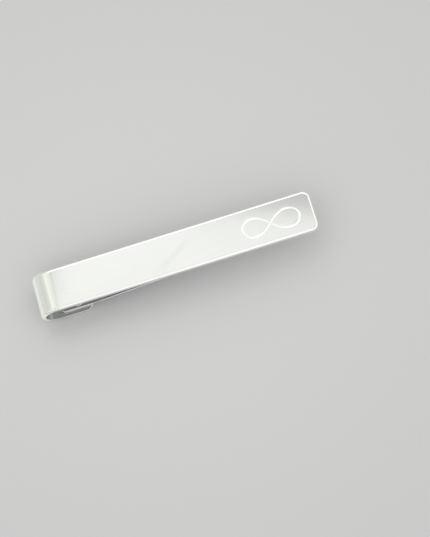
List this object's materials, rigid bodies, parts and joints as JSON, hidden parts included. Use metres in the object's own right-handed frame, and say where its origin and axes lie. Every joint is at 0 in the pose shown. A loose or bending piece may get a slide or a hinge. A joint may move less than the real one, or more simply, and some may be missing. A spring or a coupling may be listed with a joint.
{
  "type": "tie clip",
  "caption": "Flat rectangular tie slide with a half-round fold at one end; a riveted spring leg behind the bar presses a tie and shirt front against its back.",
  "frame": {"origin": "middle of the clip's box in X and Y, at the lowest point of its back, the tops of the rivet domes", "axes": "+X along the bar from the fold to the free end, +Y across the bar, +Z out of the front face"},
  "size_m": [0.054, 0.008, 0.0068],
  "materials": {
    "satin_bar": "near-white satin, polished edge line",
    "spring_strip": "rolled spring strip, fine lengthwise grain",
    "rivets": "burnished"
  },
  "bodies": {
    "front": {"front_bar": "satin_bar", "leg_rivets": "rivets"},
    "leg": {"spring_leg": "spring_strip"}
  },
  "joints": [
    {"name": "leg_flex", "type": "hinge", "parent": "front", "child": "leg", "pos_m": [-0.01675, 0, 0.0076], "axis": [0, 1, 0], "range_deg": [0, 7.5], "stiffness_Nm_per_rad": 1.2, "springref_deg": -1.72, "deforming": ["spring_leg"]}
  ]
}
